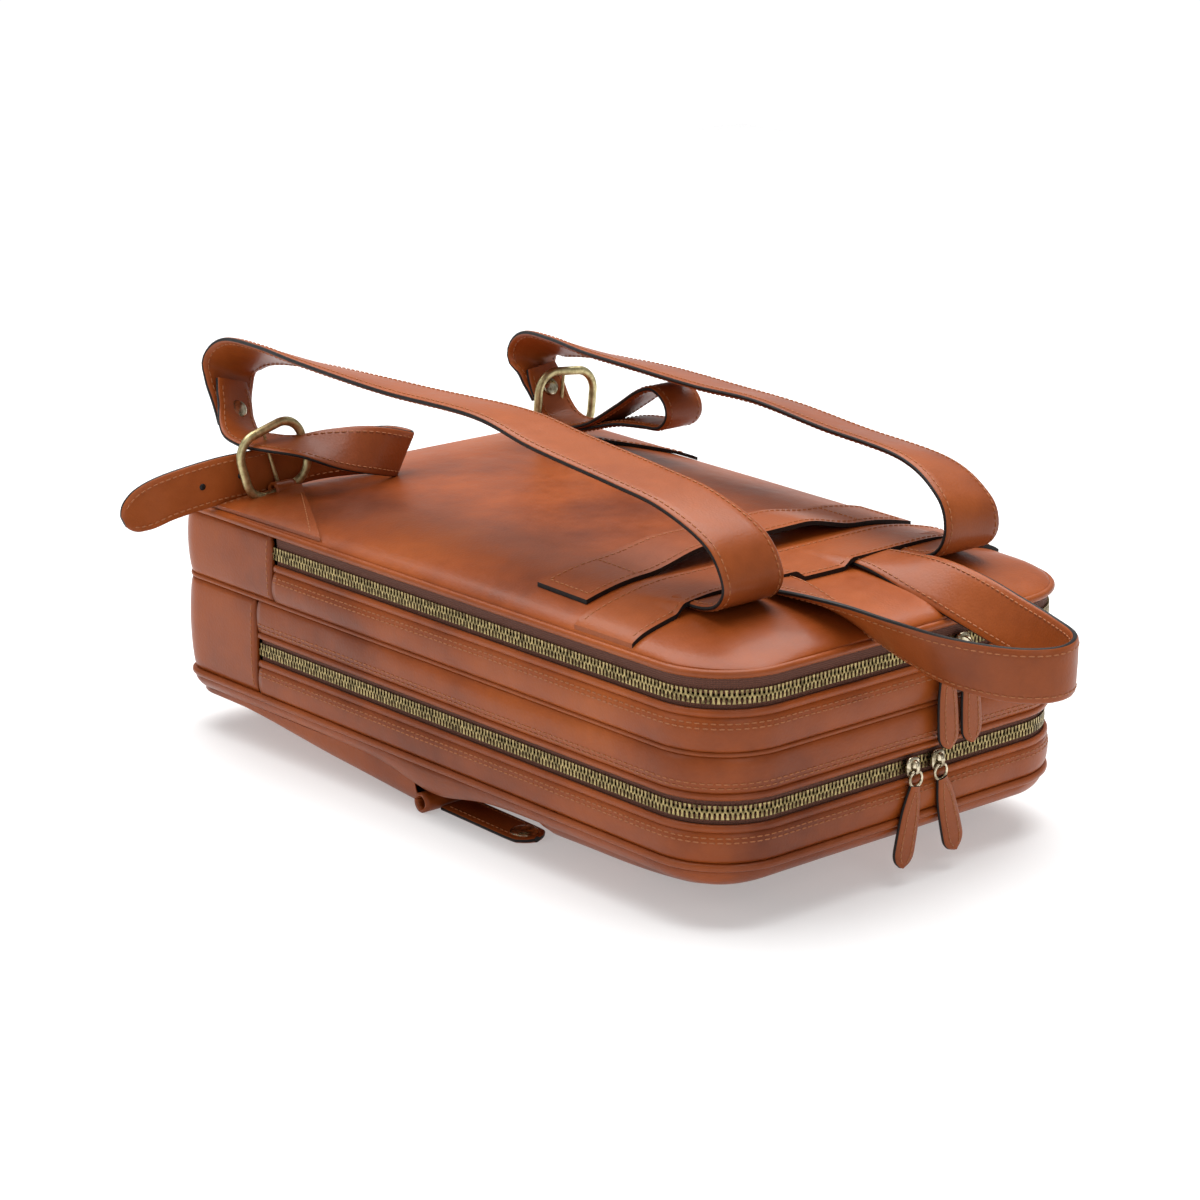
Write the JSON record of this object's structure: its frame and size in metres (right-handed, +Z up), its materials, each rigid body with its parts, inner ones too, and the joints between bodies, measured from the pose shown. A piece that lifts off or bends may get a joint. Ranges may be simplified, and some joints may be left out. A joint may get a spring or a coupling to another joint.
{
  "type": "convertible briefcase",
  "caption": "Soft leather briefcase that also works as a backpack: two zipped compartments, front pocket, shoulder straps, trolley band and a carrying loop.",
  "frame": {"origin": "middle of the front pocket's flat outer face, which the bag rests on when it lies on its front", "axes": "+Z up out of the padded back panel, +Y from the handle end to the bag's bottom end, +X across the width to the wearer's right side of the panel as drawn"},
  "size_m": [0.336, 0.5278, 0.1977],
  "materials": {
    "leather": "glossy smooth cognac cowhide",
    "strap_leather": "glossy smooth cognac cowhide with dark painted edges",
    "lining": "plain woven cotton",
    "foam": "soft padding, sealed inside",
    "board": "stiffener board, sealed inside",
    "zip_tape": "ribbed woven tape",
    "zip_teeth": "antique, tumbled",
    "buckle_metal": "antique, matte",
    "small_metal": "antique, polished"
  },
  "bodies": {
    "front_shell": {"front_panel": "leather", "front_padding": "foam", "front_piping": "leather", "front_gusset_lower": "leather", "front_base_gusset": "leather", "front_zip_tape_lower": "zip_tape", "front_zip_teeth_lower": "zip_teeth", "front_lining": "lining", "pocket_pouch": "leather", "pocket_welt": "leather", "snap_studs": "small_metal"},
    "middle_shell": {"front_gusset_upper": "leather", "front_zip_tape_upper": "zip_tape", "front_zip_teeth_upper": "zip_teeth", "middle_piping": "leather", "divider_board": "board", "divider_lining": "lining", "rear_gusset": "leather", "rear_base_gusset": "leather", "rear_zip_tape_lower": "zip_tape", "rear_zip_teeth_lower": "zip_teeth", "laptop_sleeve": "lining"},
    "back_flap": {"rear_zip_teeth_upper": "zip_teeth", "rear_zip_tape_upper": "zip_tape", "back_piping": "leather", "back_lining": "lining", "back_padding": "foam", "back_panel": "leather", "yoke_band": "strap_leather", "trolley_band": "strap_leather", "corner_tabs": "strap_leather", "strap_anchors": "strap_leather"},
    "handle": {"handle_loop": "strap_leather", "handle_core": "foam"},
    "pocket_tab_left": {"pocket_tab_left": "strap_leather", "snap_cap_left": "small_metal"},
    "strap_left": {"shoulder_strap_left": "strap_leather", "strap_end_left": "strap_leather", "strap_rivet_left": "small_metal"},
    "buckle_left": {"buckle_frame_left": "buckle_metal"},
    "prong_left": {"buckle_prong_left": "buckle_metal"},
    "pocket_tab_right": {"pocket_tab_right": "strap_leather", "snap_cap_right": "small_metal"},
    "strap_right": {"shoulder_strap_right": "strap_leather", "strap_end_right": "strap_leather", "strap_rivet_right": "small_metal"},
    "buckle_right": {"buckle_frame_right": "buckle_metal"},
    "prong_right": {"buckle_prong_right": "buckle_metal"},
    "slider_rear_left": {"slider_rear_left": "small_metal"},
    "pull_rear_left": {"pull_ring_rear_left": "small_metal", "pull_tab_rear_left": "strap_leather"},
    "slider_rear_right": {"slider_rear_right": "small_metal"},
    "pull_rear_right": {"pull_ring_rear_right": "small_metal", "pull_tab_rear_right": "strap_leather"},
    "slider_front_left": {"slider_front_left": "small_metal"},
    "pull_front_left": {"pull_ring_front_left": "small_metal", "pull_tab_front_left": "strap_leather"},
    "slider_front_right": {"slider_front_right": "small_metal"},
    "pull_front_right": {"pull_ring_front_right": "small_metal", "pull_tab_front_right": "strap_leather"}
  },
  "joints": [
    {"name": "middle_opens", "type": "hinge", "parent": "front_shell", "child": "middle_shell", "pos_m": [0, 0.15, 0.081], "axis": [-1, 0, 0], "range_deg": [0, 25]},
    {"name": "flap_opens", "type": "hinge", "parent": "middle_shell", "child": "back_flap", "pos_m": [0, 0.1505, 0.117], "axis": [-1, 0, 0], "range_deg": [0, 30]},
    {"name": "handle_lifts", "type": "hinge", "parent": "back_flap", "child": "handle", "pos_m": [0, -0.1986, 0.1363], "axis": [-1, 0, 0], "range_deg": [0, 90]},
    {"name": "pocket_tab_left_lifts", "type": "hinge", "parent": "front_shell", "child": "pocket_tab_left", "pos_m": [-0.09802, -0.0453, 0.0012], "axis": [-1, 0, 0], "range_deg": [0, 10]},
    {"name": "strap_left_swings", "type": "hinge", "parent": "back_flap", "child": "strap_left", "pos_m": [-0.09207, 0.105, 0.1322], "axis": [-0.0838, 0.996, -0.0311], "range_deg": [-6, 6]},
    {"name": "buckle_left_tips", "type": "hinge", "parent": "strap_left", "child": "buckle_left", "pos_m": [-0.09207, 0.105, 0.1322], "axis": [-1, 0, 0], "range_deg": [-2, 2]},
    {"name": "prong_left_turns", "type": "hinge", "parent": "buckle_left", "child": "prong_left", "pos_m": [-0.09207, 0.105, 0.1322], "axis": [-1, 0, 0], "range_deg": [0, 4]},
    {"name": "pocket_tab_right_lifts", "type": "hinge", "parent": "front_shell", "child": "pocket_tab_right", "pos_m": [0.09802, -0.0453, 0.0012], "axis": [-1, 0, 0], "range_deg": [0, 10]},
    {"name": "strap_right_swings", "type": "hinge", "parent": "back_flap", "child": "strap_right", "pos_m": [0.09207, 0.105, 0.1322], "axis": [0.0838, 0.996, -0.0311], "range_deg": [-6, 6]},
    {"name": "buckle_right_tips", "type": "hinge", "parent": "strap_right", "child": "buckle_right", "pos_m": [0.09207, 0.105, 0.1322], "axis": [-1, 0, 0], "range_deg": [-2, 2]},
    {"name": "prong_right_turns", "type": "hinge", "parent": "buckle_right", "child": "prong_right", "pos_m": [0.09207, 0.105, 0.1322], "axis": [-1, 0, 0], "range_deg": [0, 4]},
    {"name": "slider_rear_left_runs", "type": "slide", "parent": "middle_shell", "child": "slider_rear_left", "axis": [-1, 0, 0], "range_m": [0, 0.09]},
    {"name": "pull_rear_left_swings", "type": "hinge", "parent": "slider_rear_left", "child": "pull_rear_left", "pos_m": [0.018, -0.2572, 0.1064], "axis": [-1, 0, 0], "range_deg": [0, 75]},
    {"name": "slider_rear_right_runs", "type": "slide", "parent": "middle_shell", "child": "slider_rear_right", "axis": [1, 0, 0], "range_m": [0, 0.039]},
    {"name": "pull_rear_right_swings", "type": "hinge", "parent": "slider_rear_right", "child": "pull_rear_right", "pos_m": [0.033, -0.2572, 0.1064], "axis": [-1, 0, 0], "range_deg": [0, 75]},
    {"name": "slider_front_left_runs", "type": "slide", "parent": "front_shell", "child": "slider_front_left", "axis": [-1, 0, 0], "range_m": [0, 0.075]},
    {"name": "pull_front_left_swings", "type": "hinge", "parent": "slider_front_left", "child": "pull_front_left", "pos_m": [0.003, -0.2546, 0.0534], "axis": [-1, 0, 0], "range_deg": [0, 75]},
    {"name": "slider_front_right_runs", "type": "slide", "parent": "front_shell", "child": "slider_front_right", "axis": [1, 0, 0], "range_m": [0, 0.053]},
    {"name": "pull_front_right_swings", "type": "hinge", "parent": "slider_front_right", "child": "pull_front_right", "pos_m": [0.019, -0.2546, 0.0534], "axis": [-1, 0, 0], "range_deg": [0, 75]}
  ]
}
